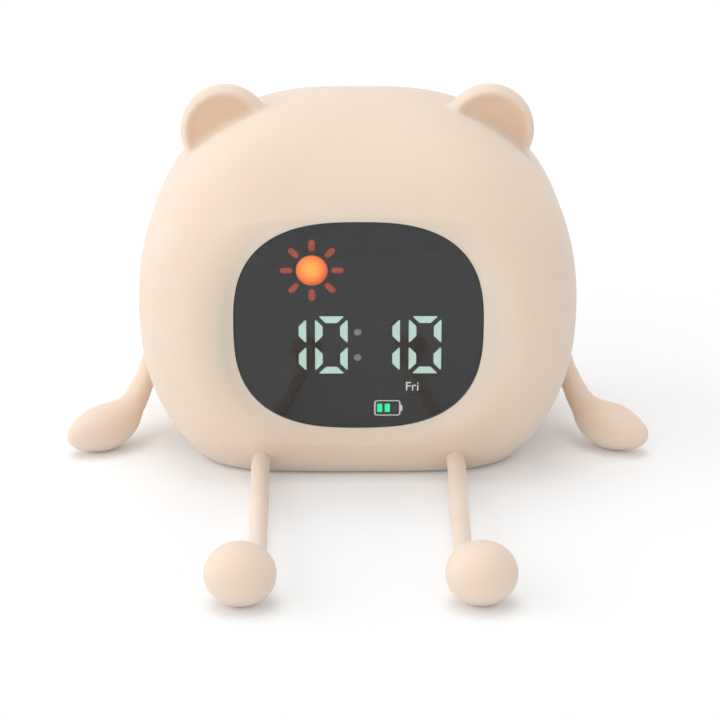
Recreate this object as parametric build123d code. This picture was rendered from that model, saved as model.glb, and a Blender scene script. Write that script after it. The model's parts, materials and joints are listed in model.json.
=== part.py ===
from build123d import *
import math
import os

# Frame: +X to the right as seen from the front, +Y to the clock's back, +Z up.
# The origin lies in the middle of the rubber pad's underside. All sizes are in millimetres.

# Body: a rounded box, cut flat underneath.
body_half_width = 56.5
body_half_depth = 46.0
widest_height = 39.7
crown_height = 53.0
keel_depth = 54.4
crown_power = 2.3
keel_power = 2.2
plan_power = 4.0
foot_gap = 0.6

# Walls, from the skin inwards.
skin_wall = 3.0
skin_floor = 2.0
shell_gap = 0.25
shell_wall = 1.8
fit_gap = 0.1

# Ears.
ear_radius = 11.5
ear_thickness = 9.0
ear_round = 3.4
ear_dish_radius = 7.6
ear_dish_depth = 0.8
ear_half_spacing = 33.8
ear_height = 83.2
ear_setback = -4.0

# Display window in the front.
window_half_width = 30.8
window_half_height = 26.6
window_power = 2.7
window_height = 41.6
window_face_y = -40.0
window_lip_round = 4.2
lens_thickness = 1.6
tape_thickness = 0.3
tape_width = 1.1

# Control panel in the back.
panel_half_width = 31.0
panel_half_height = 21.0
panel_power = 2.6
panel_height = 40.0
panel_face_y = 43.0
panel_lip_round = 2.5
panel_thickness = 2.0

# Seats of the window and the panel in the rigid shell, and the skin's bead round them.
bead_width = 2.5
seat_wall = 1.8
window_ledge = 1.3
panel_ledge = 4.0
opening_start = 23.0

# Parting of the rigid shell.
parting_y = 2.0
spigot_radius = 2.1
spigot_length = 1.4

# Screws and the posts that they bite in.
thread_radius = 1.0
thread_gap = 0.05
hole_gap = 0.35
head_radius = 2.0
head_height = 1.3
slot_width = 0.5
slot_end_wall = 0.5
recess_depth = 0.6
tip_gap = 1.0
post_radius = 3.2
post_upper = (40.0, 62.0)
post_lower = (38.0, 16.0)
post_screw_length = 14.0
post_screw_grip = 6.0
boss_radius = 2.4
boss_screw_length = 5.0

# Base plate and rubber pad.
base_half_width = 35.0
base_half_depth = 26.0
base_power = 4.0
base_recess = 0.2
base_screw_x = 28.0
base_screw_y = 19.0
base_boss_height = 5.0
base_screw_length = 7.0
pad_half_width = 24.0
pad_half_depth = 14.0
pad_power = 3.0
pad_sink = 0.5

# Display behind the window.
mask_thickness = 0.4
guide_depth = 1.6
reflector_depth = 5.6
reflector_inset = 0.4
well_gap = 0.08
board_thickness = 1.6
led_height = 1.0
led_share = 0.5
led_gap = 0.2
display_board_half_width = 33.0
display_board_half_height = 20.0
display_boss_x = 29.5
display_boss_z = 16.0

# Seven-segment digits: a generic time of four digits, "10:10".
digit_width = 8.05
digit_height = 15.0
digit_centres = (-16.9, -6.68, 6.22, 16.45)
digit_values = ("1", "0", "1", "0")
digits_z = 36.4
segment_width = 1.87
segment_corner_gap = 0.75
segment_middle_gap = 0.4
segment_round = 0.18
colon_x = -0.2
colon_radius = 0.93
colon_half_spacing = 3.3

# Pictograms behind the window.
sun_x = -11.4
sun_z = 55.6
sun_radius = 3.9
ray_count = 8
ray_width = 1.58
ray_length = 3.1
ray_gap = 0.85
weekday_x = 13.35
weekday_z = 25.4
weekday_width = 4.6
weekday_height = 3.6
battery_x = 7.2
battery_z = 19.85
battery_width = 6.6
battery_mark_height = 4.15
battery_stroke = 0.35
battery_round = 0.8
battery_nub_width = 0.45
battery_nub_height = 1.6
bar_width = 1.28
bar_height = 2.3
bar_pitch = 1.9
bars_lit = 2
bars_total = 3

# Night light under the crown.
light_board_half_width = 38.0
light_board_half_depth = 14.0
light_board_height = 65.5
light_led_columns = 6
light_led_rows = 2
light_led_pitch_x = 9.0
light_led_pitch_y = 10.0
light_led_size = 3.0
light_cover_half_width = 31.0
light_cover_half_depth = 10.5
light_cover_height = 6.0
light_cover_wall = 1.2
bracket_width = 8.0
bracket_length = 8.0
bracket_height = 5.5
bracket_x = 34.5
bracket_y = 12.0

# Main board with its switches, socket and tap sensor.
main_board_half_width = 33.0
main_board_half_height = 17.0
main_board_back_y = 31.6
main_boss_x = 30.0
main_boss_z = 14.0
tact_side = 6.0
tact_height = 3.4
plunger_radius = 1.7
plunger_height = 0.6
usb_x = 10.0
usb_z = -8.5
usb_width = 9.0
usb_height = 3.2
usb_wall = 0.3
usb_tongue_thickness = 0.7
usb_set_back = 0.8
usb_opening_gap = 0.4
sensor_radius = 2.0
sensor_length = 8.0
processor_x = -12.0
processor_z = 2.0
processor_side = 9.0
processor_thickness = 1.2
charger_x = 6.0
charger_z = 6.0
charger_side = 5.0
charger_thickness = 1.0
coil_x = 18.0
coil_z = -5.0
coil_side = 5.0
coil_thickness = 2.4
can_x = 24.0
can_z = 6.0
can_radius = 2.5
can_length = 5.0

# Buttons in the back panel.
button_radius = 3.2
button_gap = 0.15
button_proud = 0.8
button_flange = 1.0
button_flange_thickness = 1.0
button_stem_radius = 1.5
button_travel = 0.6
button_pitch = 9.0
button_z = 9.0
button_edge_round = 0.4
button_names = ("alarm", "set", "minus", "plus", "light")

# Power slide switch.
slider_x = 19.6
slider_z = -8.5
slider_travel = 1.5
slider_knob_width = 3.0
slider_knob_height = 2.2
slider_proud = 0.8
slider_plate_width = 6.7
slider_plate_height = 3.2
slider_plate_thickness = 0.9
slider_prong = 1.6
slider_prong_length = 3.4
switch_width = 8.6
switch_height = 4.4
switch_depth = 6.2
switch_slot_depth = 1.6
slide_gap = 0.2

# Speaker.
speaker_x = -14.0
speaker_z = -6.0
speaker_radius = 7.5
speaker_depth = 2.2
speaker_wall = 0.8
speaker_rim = 1.8
cone_thickness = 0.3
cone_dome_share = 0.33
cone_dome_height = 1.0
magnet_radius = 4.6
magnet_depth = 1.6
gasket_thickness = 0.5
collar_wall = 0.9
collar_depth = 2.4
grille_hole_radius = 0.6
grille_pitch = 2.3
grille_rings = 2
grille_ring_holes = 6

# Battery, lying across the floor.
cell_radius = 9.2
cell_length = 65.0
cell_cap_radius = 3.0
cell_cap_height = 0.8
cradle_floor = 1.0
cradle_wall = 1.8
cradle_end = 2.0
cradle_height = 8.0
strap_thickness = 0.6
strap_width = 10.0

# Legs: a thin rod that ends in an egg-shaped foot. Places are those of the clock's right leg.
leg_exit_x = 24.5
leg_exit_height = 5.5
leg_root_radius = 2.35
leg_end_radius = 2.05
leg_foot_joint = (24.4, -106.0, 8.0)
foot_centre_x = 26.7
foot_centre_y = -110.4
foot_half_width = 8.1
foot_half_height = 7.3

# Arms: a rod that swells into a hand. Places are those of the clock's right arm.
arm_exit_y = 2.0
arm_exit_height = 17.9
arm_root_radius = 2.7
arm_shoulder_top = (53.8, 5.0, 27.0)
arm_shoulder_radius = 1.6
arm_peg_height = 22.5
arm_peg_radius = 2.2
arm_stations = (
    (57.6, -2.4, 13.2, 2.85),
    (59.4, -7.0, 10.2, 3.25),
    (62.2, -12.2, 7.4, 4.2),
)
hand_centre = (67.3, -16.4, 5.6)
hand_direction = (0.826, -0.549, -0.126)
hand_half_length = 9.8
hand_half_width = 5.45

# How a limb's end and its root are kept apart and held.
limb_gap = 0.3
limb_stand_off = 0.25
head_plug_radius = 3.0
head_plug_thickness = 1.6
head_plug_gap = 0.5

# Fineness of the worked-out curves, and a length that reaches past the whole clock.
section_shares = (-0.985, -0.94, -0.82, -0.6, -0.32, 0.0, 0.32, 0.6, 0.82, 0.94, 0.985)
section_points = 24
oval_points = 24
lip_steps = 4
search_steps = 40
far = 300.0

# Levels worked out from the walls.
skin_floor_top = foot_gap + skin_floor
shell_inset = skin_wall + shell_gap
shell_bottom = skin_floor_top + shell_gap
room_inset = shell_inset + shell_wall
room_floor = shell_bottom + shell_wall
lens_back_y = window_face_y + lens_thickness
window_seat_y = lens_back_y + tape_thickness
panel_seat_y = panel_face_y - panel_thickness
panel_screw_x = panel_half_width - panel_ledge / 2
mask_back_y = lens_back_y + mask_thickness
display_board_y = mask_back_y + reflector_depth
main_board_front_y = main_board_back_y - board_thickness


def body_level(x, y, z, inset):
    """1 on the body's surface moved inwards by the inset, under 1 inside it."""
    half_height = (crown_height if z >= widest_height else keel_depth) - inset
    power = crown_power if z >= widest_height else keel_power
    across = abs(x) / (body_half_width - inset)
    along = abs(y) / (body_half_depth - inset)
    plan = (across**plan_power + along**plan_power) ** (1 / plan_power)
    return plan**power + (abs(z - widest_height) / half_height) ** power


def reach(start, direction, inset=0.0):
    """How far the body's surface lies from a point inside it, along a direction."""
    near = 0.0
    beyond = far
    for _ in range(search_steps):
        middle = (near + beyond) / 2
        point = start + direction * middle
        if body_level(point.X, point.Y, point.Z, inset) < 1:
            near = middle
        else:
            beyond = middle
    return near


def surface_normal(point):
    """Outward normal of the body's surface near a point."""
    step = 0.01
    slopes = []
    for move in (Vector(step, 0, 0), Vector(0, step, 0), Vector(0, 0, step)):
        ahead = point + move
        behind = point - move
        slopes.append(body_level(*ahead, 0) - body_level(*behind, 0))
    return Vector(*slopes).normalized()


def body_solid(inset, floor):
    """The body's rounded box, moved inwards by the inset and cut flat at the floor."""
    sections = []
    for share in section_shares:
        centre = Vector(0, share * (body_half_depth - inset), widest_height)
        points = []
        for step in range(section_points):
            angle = 2 * math.pi * step / section_points
            direction = Vector(math.cos(angle), 0, math.sin(angle))
            points.append(centre + direction * reach(centre, direction, inset))
        sections.append(Wire([Edge.make_spline(points, periodic=True)]))
    return Solid.make_loft(sections) - Pos(0, 0, floor - far / 2) * Box(far, far, far)


def upright(y):
    """Upright plane at depth y: its x runs to +X and its y runs up."""
    return Plane(origin=(0, y, 0), x_dir=(1, 0, 0), z_dir=(0, -1, 0))


def slab(shape, y_front, y_back):
    """A flat shape, drawn as x and height, given a thickness in depth."""
    return extrude(upright(y_back) * shape, amount=y_back - y_front)


def rod(radius, start, end):
    """A round rod between two points."""
    run = Vector(*end) - Vector(*start)
    plane = Plane(origin=start, z_dir=run)
    return extrude(plane * Circle(radius), amount=run.length)


def depth_rod(radius, x, z, y_front, y_back):
    """A round rod that lies along the depth."""
    return rod(radius, (x, y_front, z), (x, y_back, z))


def oval(half_width, half_height, power):
    """A rounded oblong with a superellipse outline."""
    points = []
    for step in range(oval_points):
        angle = 2 * math.pi * step / oval_points
        across = abs(math.cos(angle) / half_width) ** power
        upwards = abs(math.sin(angle) / half_height) ** power
        length = (across + upwards) ** (-1 / power)
        points.append((length * math.cos(angle), length * math.sin(angle)))
    return make_face(Spline(*points, periodic=True))


def window_oval(grow):
    """The window's outline, grown outwards."""
    outline = oval(window_half_width + grow, window_half_height + grow, window_power)
    return Pos(0, window_height) * outline


def panel_oval(grow):
    """The back panel's outline, grown outwards."""
    outline = oval(panel_half_width + grow, panel_half_height + grow, panel_power)
    return Pos(0, panel_height) * outline


def opening_slab(outline, grow, side, near, away):
    """A slab of a grown outline, from one distance to another ahead of y = 0 on its side."""
    if side > 0:
        return slab(outline(grow), near, away)
    return slab(outline(grow), -away, -near)


def skin_lip(outline, side, face, lip_round):
    """What the skin leaves free in front of a window: a mouth with a rounded flare."""
    rings = []
    for step in range(lip_steps + 1):
        angle = math.pi / 2 * step / lip_steps
        ring = outline(lip_round * (1 - math.cos(angle)))
        rings.append(upright(side * (face + lip_round * math.sin(angle))) * ring)
    flare = loft(rings)
    beyond = opening_slab(outline, lip_round, side, face + lip_round, body_half_depth + lip_round)
    return flare + beyond


openings = (
    (window_oval, -1, -window_face_y, -window_seat_y),
    (panel_oval, 1, panel_face_y, panel_seat_y),
)


def make_ear(side):
    """One ear: a thick round disc with a soft rim and a shallow dish in its front."""
    disc = Cylinder(ear_radius, ear_thickness)
    disc = fillet(disc.edges().filter_by(GeomType.CIRCLE), ear_round)
    dish_radius = (ear_dish_radius**2 + ear_dish_depth**2) / (2 * ear_dish_depth)
    disc -= Pos(0, 0, ear_thickness / 2 - ear_dish_depth + dish_radius) * Sphere(dish_radius)
    return Pos(side * ear_half_spacing, ear_setback, ear_height) * Rot(90, 0, 0) * disc


def make_skin():
    """The soft cover, ears included, with the openings of both windows, the base and the limbs."""
    outer = body_solid(0, foot_gap)
    inner = body_solid(skin_wall, skin_floor_top)
    skin = outer + [make_ear(side) for side in (-1, 1)] - inner
    beads = []
    base_hole = oval(base_half_width + fit_gap, base_half_depth + fit_gap, base_power)
    cuts = [extrude(base_hole, skin_floor_top)]
    lip_rounds = (window_lip_round, panel_lip_round)
    for (outline, side, face, seat), lip_round in zip(openings, lip_rounds):
        beads.append(opening_slab(outline, bead_width, side, seat + fit_gap, body_half_depth))
        cuts.append(opening_slab(outline, fit_gap, side, 0, face))
        cuts.append(skin_lip(outline, side, face - fit_gap, lip_round))
    for side in (-1, 1):
        cuts.append(leg_neck(side, leg_root_radius + fit_gap / 2))
        cuts.append(arm_peg(side, arm_peg_radius + fit_gap / 2))
    return skin + [bead & outer for bead in beads] - cuts


def make_shell_blank():
    """Both halves of the rigid shell in one, before they are parted."""
    outer = body_solid(shell_inset, shell_bottom)
    room = body_solid(room_inset, room_floor)
    inside = []
    clipped = []
    cuts = []
    for side in (-1, 1):
        for x, z in (post_upper, post_lower):
            clipped.append(depth_rod(post_radius, side * x, z, -body_half_depth, body_half_depth))
        for front in (-1, 1):
            bracket = Box(bracket_width, bracket_length, bracket_height)
            bracket_z = light_board_height - bracket_height / 2
            inside.append(Pos(side * bracket_x, front * bracket_y, bracket_z) * bracket)
            foot = Pos(side * base_screw_x, front * base_screw_y, shell_bottom)
            inside.append(foot * extrude(Circle(boss_radius), shell_wall + base_boss_height))
    frame_width = bead_width + fit_gap + seat_wall
    for (outline, side, _, seat), ledge in zip(openings, (window_ledge, panel_ledge)):
        clipped.append(opening_slab(outline, frame_width, side, seat - seat_wall, body_half_depth))
        cuts.append(opening_slab(outline, bead_width + fit_gap, side, seat, body_half_depth))
        cuts.append(opening_slab(outline, -ledge, side, opening_start, seat + seat_wall))
    blank = outer - room + [piece & outer for piece in clipped] + inside
    for cut in cuts:
        blank -= cut
    return blank, outer


def board_bosses(x, z, centre_z, y_board, y_seat):
    """Four short bosses between a seat and a board, and the pilot holes in them."""
    bosses = []
    pilots = []
    deep = math.copysign(boss_screw_length, y_seat - y_board)
    for across in (-1, 1):
        for upwards in (-1, 1):
            place = (across * x, centre_z + upwards * z)
            ends = sorted((y_board, y_seat))
            bosses.append(depth_rod(boss_radius, *place, *ends))
            pilots.append(depth_rod(thread_radius + thread_gap, *place, *sorted((y_board, y_board + deep))))
    return bosses, pilots


def make_shells():
    """The front and rear halves of the milky rigid shell."""
    blank, outer = make_shell_blank()
    pilot_radius = thread_radius + thread_gap
    cuts = []
    for side in (-1, 1):
        cuts.append(leg_neck(side, leg_root_radius + fit_gap))
        cuts.append(arm_peg(side, arm_peg_radius + fit_gap))
        for front in (-1, 1):
            start = Pos(side * base_screw_x, front * base_screw_y, 0)
            cuts.append(start * extrude(Circle(pilot_radius), shell_bottom + base_screw_length))
            start = Pos(side * bracket_x, front * bracket_y, light_board_height - bracket_height)
            cuts.append(start * extrude(Circle(pilot_radius), bracket_height))
    blank -= cuts
    ahead = Pos(0, parting_y - far / 2, 0) * Box(far, far, far)
    front_shell = blank & ahead
    rear_shell = blank - ahead

    front_bosses, front_cuts = board_bosses(
        display_boss_x, display_boss_z, window_height, display_board_y, window_seat_y + seat_wall / 2
    )
    rear_bosses, rear_cuts = board_bosses(
        main_boss_x, main_boss_z, panel_height, main_board_back_y, panel_seat_y - seat_wall / 2
    )
    for side in (-1, 1):
        place = (side * panel_screw_x, panel_height)
        boss_end = panel_seat_y - boss_screw_length
        rear_bosses.append(depth_rod(boss_radius, *place, boss_end, panel_seat_y))
        rear_cuts.append(depth_rod(pilot_radius, *place, boss_end, panel_seat_y))
    grip = parting_y + post_screw_grip
    for side in (-1, 1):
        for x, z in (post_upper, post_lower):
            place = (side * x, z)
            tip = grip - post_screw_length
            spigot_end = parting_y + spigot_length
            front_bosses.append(depth_rod(spigot_radius, *place, parting_y - spigot_length, spigot_end))
            front_cuts.append(depth_rod(pilot_radius, *place, tip, spigot_end))
            rear_cuts.append(depth_rod(spigot_radius + fit_gap, *place, parting_y, spigot_end + fit_gap))
            rear_cuts.append(depth_rod(thread_radius + hole_gap, *place, parting_y, grip))
            rear_cuts.append(depth_rod(head_radius + hole_gap, *place, grip, body_half_depth))
    front_shell = front_shell + front_bosses - front_cuts
    rear_shell = rear_shell + [boss & outer for boss in rear_bosses] - rear_cuts
    return front_shell, rear_shell


def make_screw(x, z, y_head, length, towards):
    """A pan-head screw along the depth: its head's underside at y_head, its tip the given way."""
    shank = depth_rod(thread_radius, x, z, *sorted((y_head, y_head + towards * length)))
    head = depth_rod(head_radius, x, z, *sorted((y_head, y_head - towards * head_height)))
    slot_length = 2 * (head_radius - slot_end_wall)
    slot = Pos(x, y_head - towards * head_height, z) * Box(slot_length, head_height, slot_width)
    return shank + (head - slot)


def upright_screw(x, y, z_head, length, towards):
    """The same screw, standing upright."""
    lying = make_screw(0, 0, 0, length, towards)
    return Pos(x, y, z_head) * Rot(90, 0, 0) * lying


def make_base_plate():
    """The stiff plate under the clock, with seats for its screws and the pad."""
    bottom = foot_gap + base_recess
    plate = Pos(0, 0, bottom) * extrude(
        oval(base_half_width, base_half_depth, base_power), shell_bottom - bottom
    )
    plate -= extrude(oval(pad_half_width + fit_gap, pad_half_depth + fit_gap, pad_power), bottom + pad_sink)
    for x in (-base_screw_x, base_screw_x):
        for y in (-base_screw_y, base_screw_y):
            plate -= Pos(x, y, 0) * extrude(Circle(thread_radius + hole_gap), shell_bottom)
            plate -= Pos(x, y, 0) * extrude(Circle(head_radius + fit_gap), bottom + head_height)
    return plate


def make_base_pad():
    """The rubber pad that the clock stands on."""
    return extrude(oval(pad_half_width, pad_half_depth, pad_power), foot_gap + base_recess + pad_sink)


def make_lens():
    """The smoked window."""
    return slab(window_oval(0), window_face_y, lens_back_y)


def make_tape():
    """The adhesive frame between the window and its seat."""
    outline = window_oval(-fit_gap) - window_oval(-tape_width)
    return slab(outline, lens_back_y, window_seat_y)


def segment(long_side, short_cut):
    """A segment's outline: a long side above, ends cut at 45 degrees, its middle at the origin."""
    half = long_side / 2
    points = [(-half, 0), (half, 0), (half - short_cut, -short_cut), (-half + short_cut, -short_cut)]
    return fillet(make_face(Polyline(*points, close=True)).vertices(), segment_round)


def middle_segment():
    """The bar across a digit's middle: pointed at both ends."""
    half = digit_width / 2 - segment_corner_gap
    rise = segment_width / 2
    points = [(-half, 0), (-half + rise, rise), (half - rise, rise)]
    points += [(half, 0), (half - rise, -rise), (-half + rise, -rise)]
    return fillet(make_face(Polyline(*points, close=True)).vertices(), segment_round)


def digit_segments():
    """The seven segments of one digit, by their usual letters, about the digit's middle."""
    bar = segment(digit_width - 2 * segment_corner_gap, segment_width)
    upright_length = digit_height / 2 - segment_corner_gap - segment_middle_gap
    post = segment(upright_length, segment_width)
    side_z = (digit_height / 2 - segment_corner_gap + segment_middle_gap) / 2
    right = digit_width / 2
    return {
        "a": Pos(0, digit_height / 2) * bar,
        "b": Pos(right, side_z) * Rot(0, 0, -90) * post,
        "c": Pos(right, -side_z) * Rot(0, 0, -90) * post,
        "d": Pos(0, -digit_height / 2) * Rot(0, 0, 180) * bar,
        "e": Pos(-right, -side_z) * Rot(0, 0, 90) * post,
        "f": Pos(-right, side_z) * Rot(0, 0, 90) * post,
        "g": middle_segment(),
    }


def time_shapes():
    """The outlines of the lit and the dark segments of all digits."""
    letters = {"0": "abcdef", "1": "bc"}
    lit = []
    dark = []
    for centre, value in zip(digit_centres, digit_values):
        for letter, shape in digit_segments().items():
            placed = Pos(centre, digits_z) * shape
            (lit if letter in letters[value] else dark).append(placed)
    return lit, dark


def colon_shapes():
    """The two dots between the hours and the minutes."""
    return [Pos(colon_x, digits_z + step * colon_half_spacing) * Circle(colon_radius) for step in (-1, 1)]


def ray_shapes():
    """The sun's rays: round-ended bars round the disc."""
    ray = SlotOverall(ray_length, ray_width)
    middle = sun_radius + ray_gap + ray_length / 2
    rays = []
    for step in range(ray_count):
        rays.append(Pos(sun_x, sun_z) * Rot(0, 0, 360 * step / ray_count) * Pos(middle, 0) * ray)
    return rays


def battery_frame_shape():
    """The battery mark's outline with its nub."""
    body = RectangleRounded(battery_width, battery_mark_height, battery_round)
    hollow = RectangleRounded(
        battery_width - 2 * battery_stroke, battery_mark_height - 2 * battery_stroke, battery_round - battery_stroke
    )
    nub = Pos(battery_width / 2 + battery_nub_width / 2, 0) * Rectangle(battery_nub_width, battery_nub_height)
    return Pos(battery_x, battery_z) * (body - hollow + nub)


def bar_shapes():
    """The battery mark's bars, from the left."""
    bars = []
    for step in range(bars_total):
        shift = (step - (bars_total - 1) / 2) * bar_pitch
        bars.append(Pos(battery_x + shift, battery_z) * Rectangle(bar_width, bar_height))
    return bars


def sun_shape():
    """The sun's disc."""
    return Pos(sun_x, sun_z) * Circle(sun_radius)


def weekday_shape():
    """The window of the weekday's lettering."""
    return Pos(weekday_x, weekday_z) * Rectangle(weekday_width, weekday_height)


def display_shapes():
    """Every lit or dark shape behind the window, by the node that fills it."""
    lit, dark = time_shapes()
    bars = bar_shapes()
    return {
        "digit_guides": lit,
        "spare_guides": dark,
        "colon_guides": colon_shapes(),
        "sun_disc_guide": [sun_shape()],
        "sun_ray_guides": ray_shapes(),
        "weekday_guide": [weekday_shape()],
        "battery_frame_guide": [battery_frame_shape()],
        "battery_bar_guides": bars[:bars_lit],
        "battery_spare_guide": bars[bars_lit:],
    }


def make_display():
    """The mask, the light guides, the reflector block and the lamps on the board behind it."""
    shapes = display_shapes()
    parts = {}
    everything = []
    for name, outlines in shapes.items():
        parts[name] = Compound([slab(outline, mask_back_y, mask_back_y + guide_depth) for outline in outlines])
        everything += outlines
    sheet = window_oval(-window_ledge - fit_gap)
    block = window_oval(-window_ledge - reflector_inset)
    lamps = lamp_shapes(shapes)
    wells = [offset(outline, well_gap) for outline in everything]
    channels = [offset(lamp, led_gap) for lamp in lamps]
    guide_back_y = mask_back_y + guide_depth
    parts["graphic_mask"] = slab(sheet - everything, lens_back_y, mask_back_y)
    front_layer = slab(block - wells, mask_back_y, guide_back_y)
    parts["reflector_block"] = front_layer + slab(block - channels, guide_back_y, display_board_y)
    lamp_front = display_board_y - led_height
    parts["display_leds"] = Compound([slab(lamp, lamp_front, display_board_y) for lamp in lamps])
    return parts


def lamp_shapes(shapes):
    """One square lamp behind the middle of each shape but the battery's outline."""
    lamps = []
    for name, outlines in shapes.items():
        if name == "battery_frame_guide":
            continue
        for outline in outlines:
            size = outline.bounding_box().size
            middle = outline.center()
            lamps.append(Pos(middle.X, middle.Y) * Rectangle(*[led_share * min(size.X, size.Y)] * 2))
    return lamps


def make_display_board():
    """The display's circuit board."""
    outline = Pos(0, window_height) * RectangleRounded(
        2 * display_board_half_width, 2 * display_board_half_height, boss_radius
    )
    for x in (-display_boss_x, display_boss_x):
        for z in (-display_boss_z, display_boss_z):
            outline -= Pos(x, window_height + z) * Circle(thread_radius + fit_gap)
    return slab(outline, display_board_y, display_board_y + board_thickness)


def make_display_screws():
    """The four screws of the display board."""
    back = display_board_y + board_thickness
    screws = []
    for x in (-display_boss_x, display_boss_x):
        for z in (-display_boss_z, display_boss_z):
            screws.append(make_screw(x, window_height + z, back, board_thickness + boss_screw_length / 2, -1))
    return Compound(screws)


def make_shell_screws():
    """The four long screws that hold the shell's halves together."""
    grip = parting_y + post_screw_grip
    screws = []
    for x, z in (post_upper, post_lower):
        for side in (-1, 1):
            screws.append(make_screw(side * x, z, grip, post_screw_length - tip_gap, -1))
    return Compound(screws)


def make_base_screws():
    """The four screws of the base plate, sunk in its underside."""
    under = foot_gap + base_recess + head_height
    screws = []
    for x in (-base_screw_x, base_screw_x):
        for y in (-base_screw_y, base_screw_y):
            screws.append(upright_screw(x, y, under, base_screw_length, 1))
    return Compound(screws)


def light_led_places():
    """The night light's lamps: a regular field."""
    places = []
    for column in range(light_led_columns):
        for row in range(light_led_rows):
            x = (column - (light_led_columns - 1) / 2) * light_led_pitch_x
            y = (row - (light_led_rows - 1) / 2) * light_led_pitch_y
            places.append((x, y))
    return places


def make_light():
    """The night light: board, lamps, milky cover and screws."""
    top = light_board_height + board_thickness
    outline = RectangleRounded(2 * light_board_half_width, 2 * light_board_half_depth, boss_radius)
    for x in (-bracket_x, bracket_x):
        for y in (-bracket_y, bracket_y):
            outline -= Pos(x, y) * Circle(thread_radius + fit_gap)
    board = Pos(0, 0, light_board_height) * extrude(outline, board_thickness)
    lamps = []
    for x, y in light_led_places():
        lamps.append(Pos(x, y, top + led_height / 2) * Box(light_led_size, light_led_size, led_height))
    cover = RectangleRounded(2 * light_cover_half_width, 2 * light_cover_half_depth, boss_radius)
    room = offset(cover, -light_cover_wall)
    inside = extrude(room, light_cover_height - light_cover_wall)
    shade = Pos(0, 0, top) * (extrude(cover, light_cover_height) - inside)
    screws = []
    for x in (-bracket_x, bracket_x):
        for y in (-bracket_y, bracket_y):
            screws.append(upright_screw(x, y, top, board_thickness + boss_screw_length / 2, -1))
    return {
        "light_board": board,
        "light_leds": Compound(lamps),
        "light_cover": shade,
        "light_screws": Compound(screws),
    }


def button_places():
    """Where each button sits on the back panel."""
    places = {}
    for step, name in enumerate(button_names):
        x = (step - (len(button_names) - 1) / 2) * button_pitch
        places[name] = (x, panel_height + button_z)
    return places


def make_button(x, z):
    """One button: a cap, a flange that keeps it in and a stem towards its switch."""
    flange_y = panel_seat_y - fit_gap
    cap = depth_rod(button_radius, x, z, flange_y, panel_face_y + button_proud)
    cap = fillet(cap.edges().sort_by(Axis.Y)[-1], button_edge_round)
    flange = depth_rod(button_radius + button_flange, x, z, flange_y - button_flange_thickness, flange_y)
    tip = main_board_back_y + tact_height + plunger_height + button_travel + fit_gap
    stem = depth_rod(button_stem_radius, x, z, tip, flange_y)
    return cap + flange + stem


def make_slider():
    """The power switch's knob in its off place, with its guide plate and prong."""
    x = slider_x - slider_travel / 2
    z = panel_height + slider_z
    plate_back = panel_seat_y - fit_gap
    plate_front = plate_back - slider_plate_thickness
    knob = slab(
        Pos(x, z) * Rectangle(slider_knob_width, slider_knob_height), plate_front, panel_face_y + slider_proud
    )
    plate = slab(Pos(x, z) * Rectangle(slider_plate_width, slider_plate_height), plate_front, plate_back)
    prong_end = plate_front - slider_prong_length
    prong = slab(Pos(x, z) * Rectangle(slider_prong, slider_prong), prong_end, plate_front)
    return knob + plate + prong


def make_switch_body():
    """The slide switch on the main board, with the groove that its prong runs in."""
    place = Pos(slider_x, panel_height + slider_z)
    top = main_board_back_y + switch_depth
    body = slab(place * Rectangle(switch_width, switch_height), main_board_back_y, top)
    groove = Rectangle(slider_prong + slider_travel + 2 * slide_gap, slider_prong + 2 * slide_gap)
    return body - slab(place * groove, top - switch_slot_depth, top)


def grille_places():
    """The speaker's holes: one in the middle and rings of six, twelve and so on."""
    places = [(0.0, 0.0)]
    for ring in range(1, grille_rings + 1):
        holes = grille_ring_holes * ring
        for step in range(holes):
            angle = 2 * math.pi * step / holes
            places.append((ring * grille_pitch * math.cos(angle), ring * grille_pitch * math.sin(angle)))
    return places


def make_rear_panel():
    """The stiff back panel, with its holes and the speaker's collar."""
    face = panel_oval(0)
    for x, z in button_places().values():
        face -= Pos(x, z) * Circle(button_radius + button_gap)
    slot_length = slider_knob_width + slider_travel + 2 * slide_gap
    face -= Pos(slider_x, panel_height + slider_z) * Rectangle(slot_length, slider_knob_height + 2 * slide_gap)
    face -= Pos(usb_x, panel_height + usb_z) * SlotOverall(
        usb_width + 2 * usb_opening_gap, usb_height + 2 * usb_opening_gap
    )
    for x, z in grille_places():
        face -= Pos(speaker_x + x, panel_height + speaker_z + z) * Circle(grille_hole_radius)
    for side in (-1, 1):
        face -= Pos(side * panel_screw_x, panel_height) * Circle(thread_radius + hole_gap)
    panel = slab(face, panel_seat_y, panel_face_y)
    collar = Circle(speaker_radius + fit_gap + collar_wall) - Circle(speaker_radius + fit_gap)
    collar = Pos(speaker_x, panel_height + speaker_z) * collar
    panel += slab(collar, panel_seat_y - collar_depth, panel_seat_y)
    for side in (-1, 1):
        seat = panel_face_y - recess_depth - head_height
        panel -= depth_rod(head_radius - hole_gap, side * panel_screw_x, panel_height, seat, panel_face_y)
    return panel


def make_panel_screws():
    """The two small screws of the back panel."""
    seat = panel_face_y - recess_depth - head_height
    screws = []
    for side in (-1, 1):
        x = side * panel_screw_x
        shank = depth_rod(thread_radius, x, panel_height, seat - boss_screw_length + tip_gap, seat)
        head = depth_rod(head_radius - hole_gap - fit_gap, x, panel_height, seat, seat + head_height)
        cross = Box(head_radius, head_height, slot_width) + Box(slot_width, head_height, head_radius)
        screws.append(shank + (head - Pos(x, seat + head_height, panel_height) * cross))
    return Compound(screws)


def make_main_board():
    """The main circuit board, upright behind the buttons."""
    outline = RectangleRounded(2 * main_board_half_width, 2 * main_board_half_height, boss_radius)
    for x in (-main_boss_x, main_boss_x):
        for z in (-main_boss_z, main_boss_z):
            outline -= Pos(x, z) * Circle(thread_radius + fit_gap)
    return slab(Pos(0, panel_height) * outline, main_board_front_y, main_board_back_y)


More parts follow.
